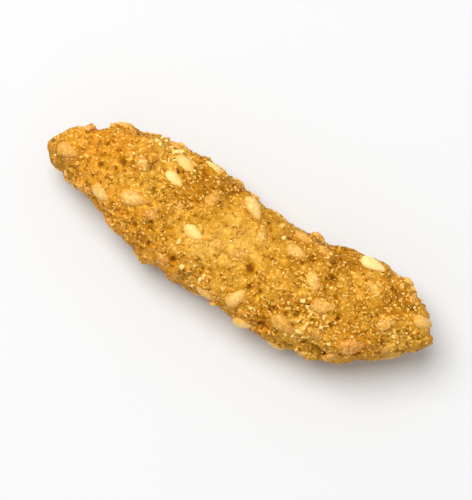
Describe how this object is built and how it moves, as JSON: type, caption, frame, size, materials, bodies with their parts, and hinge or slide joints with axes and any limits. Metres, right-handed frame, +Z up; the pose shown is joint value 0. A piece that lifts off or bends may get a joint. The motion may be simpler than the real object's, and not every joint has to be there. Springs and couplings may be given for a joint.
{
  "type": "sesame stick",
  "caption": "Short stick of fried wheat dough with slanted ends, a knobbly golden crust and sesame seeds baked into it; lies flat.",
  "frame": {"origin": "on the level that the stick lies on, under the middle of its outline", "axes": "+X along the stick towards its lifted end, +Y across it towards the pinched side, +Z up"},
  "size_m": [0.0491, 0.0148, 0.0095],
  "materials": {
    "fried_dough": "golden-brown fried wheat dough, grainy and a little oily",
    "sesame_seed": "hulled sesame seed, cream to pale gold, faint gloss",
    "salt": "fine white salt",
    "bran": "dark brown bran flake"
  },
  "bodies": {
    "root": {"sesame_stick": "fried_dough"}
  },
  "joints": []
}
